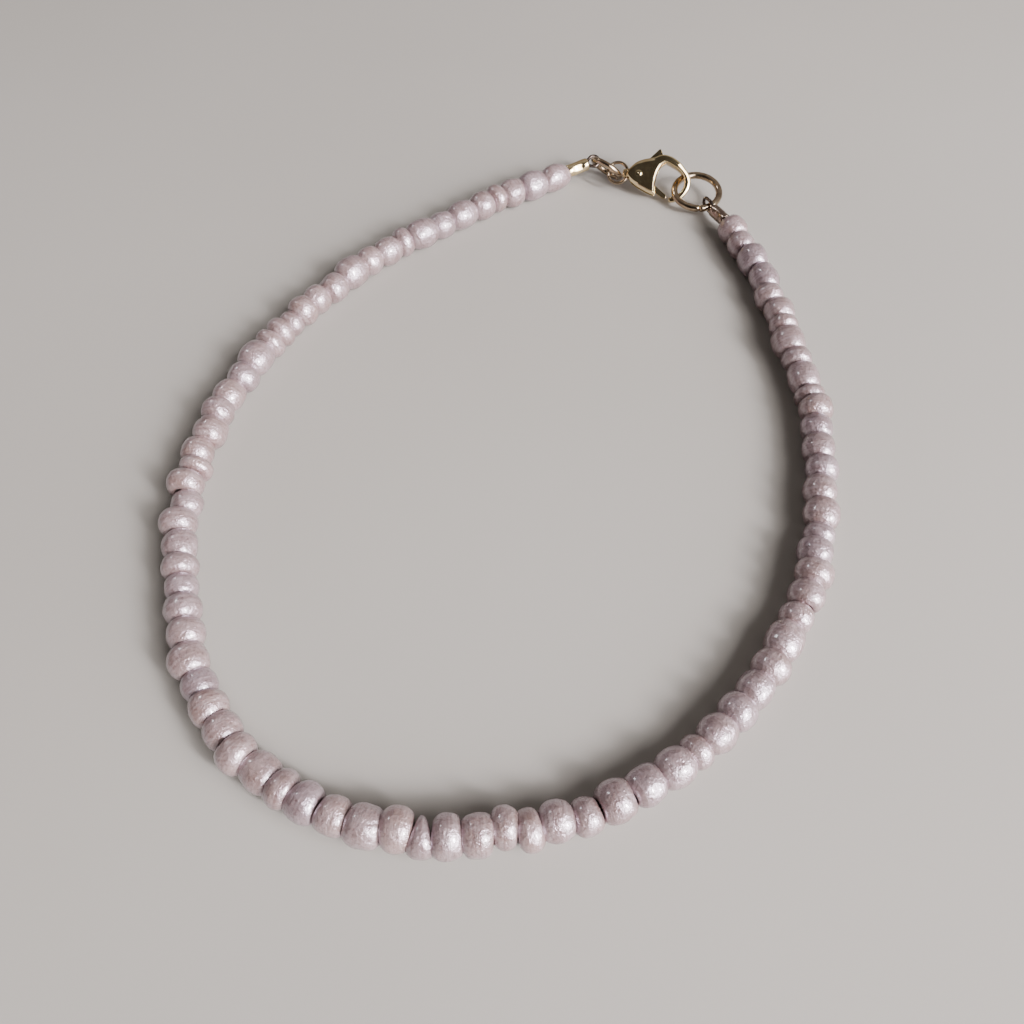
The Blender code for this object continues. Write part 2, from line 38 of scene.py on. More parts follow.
# Beads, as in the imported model
BEAD_DIAMETER = 3.0 * MM
BEAD_SETBACK = 0.065
RUN_GAP = 0.06 * MM
BEAD_FORMS = {
    "P": (0.43, 0.96), "T": (0.52, 0.98), "C": (0.51, 0.86), "S": (0.62, 0.89), "W": (0.65, 1.03),
    "M": (0.69, 0.96), "L": (0.78, 0.94), "F": (0.77, 1.00), "B": (0.93, 0.97), "R": (0.92, 1.05),
}
BEAD_RUNS = (
    ("BRFTFBLRTL", "...o....o."),
    ("MRLMWCTTRM", "..i......i"),
    ("LWFMPWSWLT", "..ioioio.."),
    ("SMMFSMMWLTM", "...o...o..."),
    ("MFWPWWTTMS", "..ioooio.o"),
    ("FLLCLMLMBS", "........ii"),
    ("MWMCFLMLMW", ".o.oo.o..o"),
    ("PBTRTFMBRLF", "...i.oio.i."),
)
BEAD_ROUTE = [
    (2.4, 31.4), (-2.8, 28.1), (-8.9, 23.5), (-13.8, 19.5), (-18.3, 14.2), (-22.0, 8.2),
    (-24.6, 2.1), (-25.9, -4.4), (-26.0, -10.4), (-24.7, -16.7), (-22.6, -22.8), (-19.5, -27.7),
    (-14.9, -31.5), (-9.2, -33.9), (-4.1, -34.3), (1.5, -33.8), (6.7, -32.3), (12.4, -29.0),
    (16.9, -24.7), (20.9, -19.4), (23.5, -12.8), (25.2, -5.7), (25.9, 1.1), (25.3, 8.6),
    (24.5, 15.1), (23.1, 21.9),
]
ROUTE_STEPS = 12

# Links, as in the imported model
LINK_GAP = 0.09 * MM
WIRE_DIAMETER = 0.34 * MM
SMALL_RING_DIAMETER = 3.9 * MM
SMALL_RING_WIRE = 0.60 * MM
SMALL_RING_YAW = math.radians(129.0)
SMALL_RING_DROP = math.radians(12.0)
SMALL_RING_ROLL = math.radians(50.0)
SMALL_RING_TWIST = math.radians(-28.0)
SMALL_RING_GAP = 0.06 * MM
CLAW_RING_DIAMETER = 2.4 * MM
CLAW_RING_WIRE = 0.42 * MM
JUMP_RING_DIAMETER = 5.4 * MM
JUMP_RING_WIRE = 0.72 * MM
JUMP_RING_TWIST = math.radians(-37.0)
CRIMP_DIAMETER = 1.3 * MM
CRIMP_BORE = 0.94 * MM
CRIMP_LENGTH = 2.4 * MM
LEFT_CRIMP_YAW = math.radians(203.0)
LEFT_CRIMP_RISE = math.radians(-8.0)
RIGHT_CRIMP_YAW = math.radians(-68.0)
RIGHT_CRIMP_RISE = math.radians(7.0)
RIGHT_LOOP_REACH = 1.1 * MM
LEG_SPACING = 0.46 * MM
CRIMP_GAP = 0.20 * MM
LOOP_MOUTH_GAP = 0.24 * MM

# Claw clasp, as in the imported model
PIVOT = Vector((13.42 * MM, 32.2 * MM, 2.12 * MM))
CLAW_TILT = math.radians(44.0)
CLAW_YAW = math.radians(-8.0)
CLAW_THICKNESS = 1.5 * MM
TAIL_LENGTH = 1.2 * MM
HALF_WIDTH = 2.0 * MM
HOOK_REACH = 3.42 * MM
HOOK_DROP = 0.42 * MM
HOOK_RADIUS = 1.87 * MM
HOOK_WIDTH = 0.66 * MM
HOOK_THICKNESS = 0.70 * MM
HOOK_TIP_THICKNESS = 0.46 * MM
HOOK_START_ANGLE = math.radians(72.0)
HOOK_TIP_ANGLE = math.radians(-82.0)
RING_UNDER_ANGLE = math.radians(25.0)
RING_OVER_ANGLE = math.radians(-64.0)
RING_CLEARANCE = 0.23 * MM
TAIL_EYE_RADIUS = 0.46 * MM
TAIL_EYE_WIDTH = 0.80 * MM
EYE_CLEARANCE = 0.06 * MM
HOOK_ROOT = ((0.47, 0.68), (0.68, 0.84), (0.90, 0.80))
BODY_OUTLINE = (
    (-0.98, 0.12), (-0.69, 0.36), (-0.25, 0.60), (0.12, 0.76), (0.36, 0.86), (0.60, 0.97),
    (0.74, 1.00), (0.86, 0.93), (0.84, 0.66), (0.68, 0.42), (0.59, 0.05), (0.56, -0.35),
    (0.57, -0.72), (0.58, -0.96), (0.50, -0.985), (0.34, -0.90), (0.10, -0.73),
    (-0.42, -0.50), (-0.90, -0.22), (-1.02, -0.08),
)
LEVER_THICKNESS = 0.50 * MM
SLOT_WIDTH = 0.62 * MM
LEVER_SWING = math.radians(14.0)
PIN_DIAMETER = 0.60 * MM
PIN_GAP = 0.05 * MM
HUB_RADIUS = 0.62 * MM
HUB_START = math.radians(120.0)
HUB_END = math.radians(264.0)
GATE_LENGTH = 3.88 * MM
GATE_ANGLE = math.radians(-34.0)
GATE_WIDTH = 0.46 * MM
TAB_REACH = 3.35 * MM
TAB_ANGLE = math.radians(52.0)
TAB_WIDTH = 0.72 * MM
SLOT_MARGIN = 0.12 * MM
SLOT_BACK_MARGIN = 0.18 * MM
GATE_OUTLINE = ((0.09, -1.15), (0.94, -0.50), (1.00, 0.00), (0.94, 0.50), (0.24, 0.55))
TAB_WAIST = (0.85, -0.98)
TAB_BACK = (0.55, 0.33)
TAB_OUTLINE = (
    (0.23, -0.50), TAB_WAIST, (0.90, -1.00), (0.99, -0.16), (1.00, 0.02), (0.97, 0.16), TAB_BACK,
)
SLOT_GATE_START = 0.15
SLOT_GATE_END = 0.86
SLOT_TOP = 0.10
SLOT_ELBOW = (0.52, 0.42)
SLOT_ROOT = 0.68
SLOT_FAR = 1.60
# Shares of the hook over which it leaves the body's front, its back and its square edges, and
# where it starts to get slimmer
HOOK_FRONT_BLEND = (0.12, 0.56)
HOOK_BACK_BLEND = (0.10, 0.40)
HOOK_EDGE_BLEND = (0.10, 0.40)
HOOK_SLIM_START = 0.42
# The hook's shoulder is a little flatter than a plain arc: by how much, where and how far round
HOOK_FLAT = 0.135
HOOK_FLAT_WAY = math.radians(50.0)
HOOK_FLAT_SPREAD = math.radians(35.0)
# The body's rounded rim: how far in and how deep it reaches, and its share left at the thin tail
BODY_EDGE = 0.38 * MM
BODY_EDGE_DEPTH = 0.46 * MM
BODY_EDGE_STEPS = ((1.0, 0.0), (0.45, 0.25), (0.14, 0.58), (0.0, 1.0))
BODY_TAIL_EDGE = 0.35
# The tail eye's knob: heights and widths, as shares of its own
EYE_PROFILE = ((-0.5, 0.80), (-0.42, 0.97), (-0.2, 1.0), (0.2, 1.0), (0.42, 0.97), (0.5, 0.80))
# The hook's thickness at its root, as shares of the body's, its widths, and how square it is
HOOK_FRONT_SHARE = 0.995
HOOK_BACK_SHARE = 0.985
HOOK_ROOT_WIDTH = 1.16
HOOK_BEND_WIDTH = 1.02
HOOK_TIP_NARROWS = 0.10
HOOK_SQUARE_POWER = 0.34
HOOK_ROUND_POWER = 0.84
HOOK_TIP_DOME = ((0.10 * MM, 0.82), (0.17 * MM, 0.50))
HOOK_STEPS = 12
HOOK_SIDES = 28
# The rivet: how far its hole is narrower than the pin, how far its head laps over and stands
# up, and its head's heights and widths from a small dimple out
RIVET_HOLE_LESS = 0.05 * MM
RIVET_LAP = 0.025 * MM
RIVET_PROUD = 0.004 * MM
RIVET_HEAD = ((0.975, 0.03), (0.980, 0.10), (0.992, 0.17), (0.999, 0.24), (1.0, 0.97), (0.99, 1.0))
LEVER_CORNER = 0.22 * MM
# Softening of cast edges: voxel, passes, and share of the faces kept
BODY_SOFTENING = (0.032 * MM, 9, 0.35)
LEVER_SOFTENING = (0.025 * MM, 4, 0.5)
CLAW_ROUND_SIDES = 32
EYE_BORE_SIDES = 24
THROUGH = 2.5                # a cutter's length, as a share of the solid that it passes

# Finish of the beads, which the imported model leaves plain
BEAD_FULLNESS = 0.975        # a bead's width, as a share of its plain solid's
BEAD_AROUND = 44             # sections round a bead
BEAD_PROFILE = 34            # points of a section
BEAD_HOLE = 0.46 * MM        # radius of the hole
BEAD_RIM = 0.46              # where its ends are furthest out, as a share of its radius
BEAD_OVERLAP = 1.06          # closes the seams that its tilt would open
BEAD_POWER = 2.0 / 2.08      # how square a bead's cross-section is; 1 is an oval
BEAD_SEED = 700
BEAD_SIDE_TILT = 5.5         # degrees either way
BEAD_RISE_TILT = 3.0
BEAD_WEDGE = 0.10
BEAD_TONES = (0.2, 0.8)
BEAD_LIGHTS = (-0.35, 0.35)
BEAD_OVAL = 0.025
# Lumps: their depth as a share of the diameter, how much it varies, how far they all sit in,
# and the size and strength of each layer of noise
LUMP_DEPTH = 0.040
LUMP_SPREAD = (0.5, 1.3)
LUMP_BASE = 0.25
LUMP_LAYERS = ((1.4, 1.0), (3.4, 0.34), (8.0, 0.12))
LUMP_OFFSET = Vector((7.31, 3.17, 5.73))
LUMP_INWARD = 0.8            # how far lumps move the side in
LUMP_ENDWARD = 0.5           # and the ends
# Dents: how many, how far along a bead, how wide and how deep
DENT_COUNTS = (0, 1, 1, 2, 2, 3)
DENT_REACH = 0.85
DENT_SIZES = (0.10 * MM, 0.24 * MM)
DENT_DEPTHS = (0.015 * MM, 0.045 * MM)
# One bead is a wedge, one has a deep chip, and one has a groove round it
WEDGE_BEAD = 45
CHIPPED_BEAD = 13
CHIP = (math.radians(60.0), 0.3, 0.28 * MM, 0.16 * MM)
GROOVED_BEAD = 25
GROOVE_STEPS = 18
GROOVE = (0.1, 0.16 * MM, 0.05 * MM)

STRING_HEIGHT = 1.46 * MM
STRING_RADIUS = 0.19 * MM
STRING_INSET = 0.9 * MM
STRING_STEPS = 220
STRING_SIDES = 10

# Finish of the rings, wire loops and crimps
RING_STEPS = 96
RING_SIDES = 24
RING_CUT_EDGE = 0.12         # how far a ring's cut ends are rounded, as a share of its wire
RING_FULLNESS = 0.985        # of a wire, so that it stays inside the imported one
SPLIT_RING_WIRE = 0.72       # the claw's ring is wound from a thinner wire
SPLIT_RING_TURNS = 1.45
SPLIT_RING_RISE = 0.50
LOOP_SIDES = 18
LOOP_BEND_STEPS = 8
LOOP_STRAIGHT = 0.25
LOOP_FLARE = (0.45, 0.70)
LOOP_DEPTHS = (0.80, 0.2)
CRIMP_SIDES = 48
CRIMP_STEPS = 24
CRIMP_BORE_STEPS = 4
CRIMP_EDGE = 0.05 * MM
CRIMP_EDGE_SHARE = 0.035
CRIMP_PRESS_SPAN = 0.24      # the two dents of the pliers: half length, angles and depths
CRIMP_PRESSES = ((math.radians(62.0), 0.13 * MM), (math.radians(242.0), 0.11 * MM))
CRIMP_PRESS_POWER = 6
CRIMP_WAVE = 0.012 * MM
STRING_END_INSET = 0.15

# Colours
GLASS_TONES = ((0.0, (0.335, 0.222, 0.188)), (0.5, (0.290, 0.204, 0.190)), (1.0, (0.255, 0.195, 0.214)))
GLASS_LIGHTS = ((0.0, (0.80, 0.79, 0.79)), (0.5, (1.0, 1.0, 1.0)), (1.0, (1.20, 1.20, 1.20)))
GLASS_CLOUD = (0.420, 0.325, 0.335)
GLASS_STREAK = (0.66, 0.57, 0.55)
GLASS_SPECK = (0.55, 0.45, 0.43)
GLASS_SHINE = (0.84, 0.76, 1.0)
FLOOR_TONES = ((0.3, (0.300, 0.276, 0.250)), (0.7, (0.318, 0.293, 0.266)))

# Camera and lights: each light's place, width, height, watts and colour
CAMERA_LENS = 28.81
CAMERA_PLACE = (0.0, -0.0454, 0.05568)
CAMERA_PITCH = math.radians(33.0)
FLOOR_SIZE = 1.5
LIGHTS = (
    ("window", (0.41, -0.32, 0.28), 0.50, 0.56, 13.0, (0.985, 0.97, 0.985)),
    ("window_core", (0.385, -0.30, 0.29), 0.07, 0.15, 6.2, (0.97, 0.955, 1.0)),
    ("back_fill", (-0.33, 0.32, 0.38), 0.07, 0.07, 0.30, (0.95, 0.97, 1.0)),
)
# The sky is dark one way and bright another: each way, the span of its change, and its colours
SKY_PARTS = (
    ((-0.19, -0.80, 0.57), 0.30, 0.88, ((0.0, (1.0, 1.0, 1.0)), (1.0, (0.07, 0.065, 0.06)))),
    ((0.74, -0.58, 0.34), -0.70, 0.75, ((0.0, (0.42, 0.355, 0.32)), (1.0, (1.0, 0.97, 0.97)))),
)
SKY_STRENGTH = 0.50

# Beads that stand out: tilt to the side and up in degrees, wedge, tone from 0 warm to 1 cool,
# and light from -1 to 1
ODD_BEADS = {
    1: (3, 0, 0.16, 0.55, 0.3), 4: (5, 3, 0.05, 0.3, 0.0), 9: (-4, 2, 0.05, 0.5, 0.0),
    13: (4, -3, 0.06, 0.4, -0.2), 16: (8, 3, 0.08, 0.5, -0.1), 17: (-6, 0, 0.05, 0.35, 0.0),
    19: (0, 0, 0.03, 0.6, 0.2), 25: (-5, 4, 0.04, 0.3, 0.1), 28: (3, 0, 0.05, 0.5, 0.0),
    34: (9, -4, 0.06, 0.45, 0.0), 43: (-2, 0, 0.03, 0.5, 0.1), 44: (3, 0, 0.05, 0.1, 0.25),
    45: (0, -2, 0.45, 0.6, -0.1), 48: (-3, 0, 0.06, 0.35, 0.0), 49: (4, 0, 0.04, 0.15, 0.1),
    54: (-3, 0, 0.04, 0.6, 0.3), 60: (2, 0, 0.03, 0.5, 0.3), 61: (5, 0, 0.04, 0.4, 0.1),
    72: (8, 4, 0.05, 0.4, -0.2), 74: (-7, -3, 0.05, 0.5, -0.1), 78: (6, 0, 0.06, 0.5, 0.0),
}


def new_object(name, mesh, look, body=BODY, nodes=()):
    """Puts a finished mesh in the scene on its body."""
    mesh.materials.clear()
    mesh.materials.append(look)
    mesh.shade_smooth()
    made = bpy.data.objects.new(name, mesh)
    bpy.context.collection.objects.link(made)
    bpy.context.view_layer.update()
    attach(made, body)
    if nodes:
        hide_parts(*nodes)
    return made


def skin_bm(sections, closed=False):
    """A solid skinned over sections with the same number of points each."""
    bm = bmesh.new()
    rings = [[bm.verts.new(point) for point in section] for section in sections]
    pairs = list(zip(rings, rings[1:]))
    if closed:
        pairs.append((rings[-1], rings[0]))
    for first, second in pairs:
        for index in range(len(first)):
            after = (index + 1) % len(first)
            bm.faces.new((first[index], first[after], second[after], second[index]))
    if not closed:
        bm.faces.new(rings[0])
        bm.faces.new(rings[-1])
    return bm


def to_mesh(name, bm, place=None):
    """Turns a bmesh into a mesh with its faces out."""
    bmesh.ops.recalc_face_normals(bm, faces=bm.faces)
    mesh = bpy.data.meshes.new(name)
    bm.to_mesh(mesh)
    bm.free()
    if place is not None:
        mesh.transform(place)
    return mesh


def circle(center, across, up, radius, sides):
    """Points of a circle in the plane of two unit vectors."""
    points = []
    for index in range(sides):
        angle = 2.0 * math.pi * index / sides
        points.append(center + radius * (math.cos(angle) * across + math.sin(angle) * up))
    return points


def tube_bm(path, radii, sides):
    """A round wire along a path."""
    sections = []
    side = (path[1] - path[0]).orthogonal().normalized()
    for index, point in enumerate(path):
        tangent = (path[min(index + 1, len(path) - 1)] - path[max(index - 1, 0)]).normalized()
        side = (side - side.dot(tangent) * tangent).normalized()
        sections.append(circle(point, side, tangent.cross(side), radii[index], sides))
    return skin_bm(sections)


def smooth_path(points, steps, closed=False):
    """Points close together on a smooth curve through the given ones."""
    if closed:
        padded = [points[-1]] + list(points) + [points[0], points[1]]
    else:
        padded = [points[0]] + list(points) + [points[-1]]
    curve = []
    for first, second, third, fourth in zip(padded, padded[1:], padded[2:], padded[3:]):
        for step in range(steps):
            t = step / steps
            curve.append(0.5 * (2.0 * second + t * (third - first)
                                + t * t * (2.0 * first - 5.0 * second + 4.0 * third - fourth)
                                + t ** 3 * (3.0 * second - first - 3.0 * third + fourth)))
    if not closed:
        curve.append(points[-1])
    return curve


def walk(curve, distance):
    """The point and the direction at a distance along a curve."""
    for before, after in zip(curve, curve[1:]):
        span = after - before
        if distance <= span.length or after is curve[-1]:
            return before + span * (distance / span.length), span.normalized()
        distance -= span.length


def curve_length(curve):
    """The length along a curve."""
    return sum((after - before).length for before, after in zip(curve, curve[1:]))


def heading(yaw, rise=0.0):
    """A unit vector at an angle in plan and an angle above the horizontal."""
    return Vector((math.cos(yaw) * math.cos(rise), math.sin(yaw) * math.cos(rise), math.sin(rise)))


def placed(origin, x_axis, y_hint):
    """A placement whose X axis is given and whose Y axis is as near as can be to a hint."""
    x_axis = x_axis.normalized()
    z_axis = x_axis.cross(y_hint).normalized()
    turn = Matrix((x_axis, z_axis.cross(x_axis), z_axis)).transposed().to_4x4()
    return Matrix.Translation(origin) @ turn


def turned(angle, radius):
    """A point at an angle and a distance from the pivot, in the claw's plane."""
    return Vector((radius * math.cos(angle), radius * math.sin(angle), 0.0))


# Node helpers

def node_tree(name):
    """A new material with its tree and shader."""
    made = bpy.data.materials.new(name)
    made.use_nodes = True
    return made, made.node_tree, made.node_tree.nodes["Principled BSDF"]


def noise_node(tree, scale, detail=3.0, roughness=0.55):
    """Noise laid through the object's own space."""
    coords = tree.nodes.new("ShaderNodeTexCoord")
    made = tree.nodes.new("ShaderNodeTexNoise")
    made.inputs["Scale"].default_value = scale
    made.inputs["Detail"].default_value = detail
    made.inputs["Roughness"].default_value = roughness
    tree.links.new(coords.outputs["Object"], made.inputs["Vector"])
    return made.outputs["Fac"]


def streak_node(tree, fine, broad):
    """Noise drawn out into fine lines that run round each bead."""
    coords = tree.nodes.new("ShaderNodeTexCoord")
    slow = tree.nodes.new("ShaderNodeVectorMath")
    slow.operation = "SCALE"
    slow.inputs["Scale"].default_value = broad
    tree.links.new(coords.outputs["Object"], slow.inputs[0])
    quick = tree.nodes.new("ShaderNodeCombineXYZ")
    scaled = tree.nodes.new("ShaderNodeMath")
    scaled.operation = "MULTIPLY"
    scaled.inputs[1].default_value = fine
    tree.links.new(attribute_node(tree, "bead_along"), scaled.inputs[0])
    tree.links.new(scaled.outputs[0], quick.inputs["X"])
    total = tree.nodes.new("ShaderNodeVectorMath")
    total.operation = "ADD"
    tree.links.new(slow.outputs[0], total.inputs[0])
    tree.links.new(quick.outputs[0], total.inputs[1])
    made = tree.nodes.new("ShaderNodeTexNoise")
    made.inputs["Scale"].default_value = 1.0
    made.inputs["Detail"].default_value = 3.0
    made.inputs["Roughness"].default_value = 0.6
    tree.links.new(total.outputs[0], made.inputs["Vector"])
    return made.outputs["Fac"]


def ramp_node(tree, source, stops):
    """A colour ramp over a value."""
    made = tree.nodes.new("ShaderNodeValToRGB")
    ramp = made.color_ramp
    while len(ramp.elements) > 1:
        ramp.elements.remove(ramp.elements[-1])
    ramp.elements[0].position = stops[0][0]
    ramp.elements[0].color = (*stops[0][1], 1.0)
    for position, color in stops[1:]:
        ramp.elements.new(position).color = (*color, 1.0)
    tree.links.new(source, made.inputs["Fac"])
    return made.outputs["Color"]


def range_node(tree, source, low, high, start=0.3, end=0.7):
    """Maps a value to a range."""
    made = tree.nodes.new("ShaderNodeMapRange")
    made.inputs["From Min"].default_value = start
    made.inputs["From Max"].default_value = end
    made.inputs["To Min"].default_value = low
    made.inputs["To Max"].default_value = high
    tree.links.new(source, made.inputs["Value"])
    return made.outputs["Result"]


def mix_color(tree, blend, factor, first, second):
    """Mixes two colours; a factor or a colour is a value or a socket."""
    made = tree.nodes.new("ShaderNodeMix")
    made.data_type = "RGBA"
    made.blend_type = blend
    for socket, value in ((made.inputs[0], factor), (made.inputs[6], first), (made.inputs[7], second)):
        if hasattr(value, "links"):
            tree.links.new(value, socket)
        elif isinstance(value, tuple):
            socket.default_value = (*value, 1.0)
        else:
            socket.default_value = value
    return made.outputs[2]


def bump_node(tree, height, strength, distance, normal=None):
    """A bump from a height."""
    made = tree.nodes.new("ShaderNodeBump")
    made.inputs["Strength"].default_value = strength
    made.inputs["Distance"].default_value = distance
    tree.links.new(height, made.inputs["Height"])
    if normal is not None:
        tree.links.new(normal, made.inputs["Normal"])
    return made.outputs["Normal"]


def attribute_node(tree, name):
    """The value of an attribute of the mesh."""
    made = tree.nodes.new("ShaderNodeAttribute")
    made.attribute_name = name
    return made.outputs["Fac"]


# Materials

def glass_material():
    """Pale mauve glass with a pearly coat, a little uneven from bead to bead."""
    made, tree, shader = node_tree("lustre_glass")
    tone = attribute_node(tree, "bead_tone")
    light = attribute_node(tree, "bead_light")
    body = ramp_node(tree, tone, GLASS_TONES)
    cloud = noise_node(tree, 900.0, 3.0, 0.6)
    clouded = mix_color(tree, "MIX", range_node(tree, cloud, 0.0, 0.55, 0.35, 0.70),
                        body, GLASS_CLOUD)
    streak = streak_node(tree, 5.0, 420.0)
    streaked = mix_color(tree, "MULTIPLY", range_node(tree, streak, 0.0, 0.75, 0.42, 0.64),
                         clouded, GLASS_STREAK)
    speck = noise_node(tree, 5200.0, 2.0, 0.6)
    specked = mix_color(tree, "MULTIPLY", range_node(tree, speck, 0.0, 0.75, 0.55, 0.68),
                        streaked, GLASS_SPECK)
    bright = ramp_node(tree, light, GLASS_LIGHTS)
    tree.links.new(mix_color(tree, "MULTIPLY", 1.0, specked, bright), shader.inputs["Base Color"])
    tree.links.new(range_node(tree, cloud, 0.28, 0.40), shader.inputs["Roughness"])
    shader.inputs["Metallic"].default_value = 0.30
    shader.inputs["IOR"].default_value = 1.80
    shader.inputs["Specular IOR Level"].default_value = 0.95
    shader.inputs["Specular Tint"].default_value = (*GLASS_SHINE, 1.0)
    shader.inputs["Coat Weight"].default_value = 1.0
    shader.inputs["Coat Roughness"].default_value = 0.11
    shader.inputs["Coat IOR"].default_value = 1.60
    shader.inputs["Subsurface Weight"].default_value = 0.06
    shader.inputs["Subsurface Radius"].default_value = (1.0, 0.55, 0.45)
    shader.inputs["Subsurface Scale"].default_value = 0.0006
    waves = bump_node(tree, noise_node(tree, 1700.0, 2.0, 0.55), 0.60, 0.00016)
    dents = bump_node(tree, noise_node(tree, 3900.0, 3.0, 0.55), 1.0, 0.00009, waves)
    lines = bump_node(tree, streak, 0.50, 0.00003, dents)
    grain = bump_node(tree, noise_node(tree, 9000.0, 2.0, 0.6), 0.30, 0.00001, lines)
    tree.links.new(grain, shader.inputs["Normal"])
    return made


def metal_material(name, light, dark, roughness):
    """Polished metal with faint scratches and a worn, cloudy tone."""
    made, tree, shader = node_tree(name)
    cloud = noise_node(tree, 700.0, 4.0, 0.6)
    tree.links.new(ramp_node(tree, cloud, ((0.30, dark), (0.62, light))), shader.inputs["Base Color"])
    fine = noise_node(tree, 3800.0, 4.0, 0.7)
    tree.links.new(range_node(tree, fine, roughness * 0.7, roughness * 1.5), shader.inputs["Roughness"])
    shader.inputs["Metallic"].default_value = 1.0
    soft = bump_node(tree, noise_node(tree, 1100.0, 2.0, 0.5), 0.25, 0.00004)
    tree.links.new(bump_node(tree, fine, 0.10, 0.00001, soft), shader.inputs["Normal"])
    return made


def floor_material():
    """Plain pale matt surface."""
    made, tree, shader = node_tree("pale_floor")
    cloud = noise_node(tree, 18.0, 3.0, 0.5)
    tree.links.new(ramp_node(tree, cloud, FLOOR_TONES),
                   shader.inputs["Base Color"])
    shader.inputs["Roughness"].default_value = 0.75
    shader.inputs["Specular IOR Level"].default_value = 0.25
    return made


# Beads

def bead_profile(half, radius):
    """Points round a bead's cross-section, from its hole out over its side and back."""
    rim = BEAD_RIM * radius
    points = []
    for step in range(BEAD_PROFILE):
        angle = 2.0 * math.pi * step / BEAD_PROFILE
        c, s = math.cos(angle), math.sin(angle)
        along = half * math.copysign(abs(c) ** BEAD_POWER, c)
        depth = radius - rim if s > 0.0 else rim - BEAD_HOLE
        points.append((along, rim + depth * math.copysign(abs(s) ** BEAD_POWER, s)))
    return points


def add_bead(bm, layers, number, curve, start, length, diameter, setback):
    """One bead of its own shape, with a real hole, resting on the surface.

    The layers hold its tone, its light, and the place along it that its fine lines follow.
    """
    dice = random.Random(BEAD_SEED + number)
    side_tilt = dice.uniform(-BEAD_SIDE_TILT, BEAD_SIDE_TILT)
    rise_tilt = dice.uniform(-BEAD_RISE_TILT, BEAD_RISE_TILT)
    wedge = dice.uniform(0.0, BEAD_WEDGE)
    tone = dice.uniform(*BEAD_TONES)
    light = dice.uniform(*BEAD_LIGHTS)
    if number in ODD_BEADS:
        side_tilt, rise_tilt, wedge, tone, light = ODD_BEADS[number]
    wedge_way = 0.0 if number == WEDGE_BEAD else dice.uniform(0.0, 2.0 * math.pi)
    oval = dice.uniform(0.0, BEAD_OVAL)
    oval_way = dice.uniform(0.0, math.pi)
    lump = LUMP_DEPTH * diameter * dice.uniform(*LUMP_SPREAD)
    dents = []
    for _ in range(dice.choice(DENT_COUNTS)):
        dents.append((dice.uniform(0.0, 2.0 * math.pi), dice.uniform(-DENT_REACH, DENT_REACH),
                      dice.uniform(*DENT_SIZES), dice.uniform(*DENT_DEPTHS)))
    if number == CHIPPED_BEAD:
        dents.append(CHIP)
    if number == GROOVED_BEAD:
        dents += [(2.0 * math.pi * turn / GROOVE_STEPS, *GROOVE) for turn in range(GROOVE_STEPS)]

    radius = BEAD_FULLNESS * diameter / 2.0
    half = 0.5 * length * BEAD_OVERLAP
    center, direction = walk(curve, start + length / 2.0)
    outward = Vector((direction.y, -direction.x, 0.0))
    up = Vector((0.0, 0.0, 1.0))
    turn = (Matrix.Rotation(math.radians(side_tilt), 3, up)
            @ Matrix.Rotation(math.radians(rise_tilt), 3, outward))
    axis, across, high = turn @ direction, turn @ outward, turn @ up
    middle = center + setback * outward
    profile = bead_profile(half, radius)
    offset = LUMP_OFFSET * number
    rings = []
    for index in range(BEAD_AROUND):
        angle = 2.0 * math.pi * index / BEAD_AROUND
        way = math.cos(angle) * across + math.sin(angle) * high
        stretch = 1.0 + wedge * math.cos(angle - wedge_way)
        swell = 1.0 - oval + oval * math.cos(2.0 * (angle - oval_way))
        ring = []
        for along, reach in profile:
            outer = max(0.0, (reach - BEAD_HOLE) / (radius - BEAD_HOLE))
            local = along * stretch * axis + reach * swell * way
            spot = Vector((along, reach * math.cos(angle), reach * math.sin(angle))) / radius
            bulge = -LUMP_BASE * lump
            for scale, strength in LUMP_LAYERS:
                bulge += strength * lump * noise.noise(spot * scale + offset)
            for dent_angle, dent_along, dent_size, dent_depth in dents:
                gap = math.sin((angle - dent_angle) / 2.0) * 2.0 * reach
                apart = math.hypot(gap, along - dent_along * half)
                bulge -= dent_depth * math.exp(-(apart / dent_size) ** 2)
            endward = LUMP_ENDWARD * math.copysign(1.0, along) * (abs(along) / half) ** 2
            local += outer * min(bulge, 0.0) * (LUMP_INWARD * way + endward * axis)
            ring.append(local)
        rings.append(ring)
    lowest = min(point.z for ring in rings for point in ring)
    verts = [[bm.verts.new(middle + point - Vector((0.0, 0.0, lowest))) for point in ring]
             for ring in rings]
    for ring in verts:
        for vert, (along, _) in zip(ring, profile):
            vert[layers[0]] = tone
            vert[layers[1]] = 0.5 + 0.5 * light
            vert[layers[2]] = number + along / MM
    for index in range(BEAD_AROUND):
        first, second = verts[index], verts[(index + 1) % BEAD_AROUND]
        for step in range(BEAD_PROFILE):
            after = (step + 1) % BEAD_PROFILE
            bm.faces.new((first[step], first[after], second[after], second[step]))


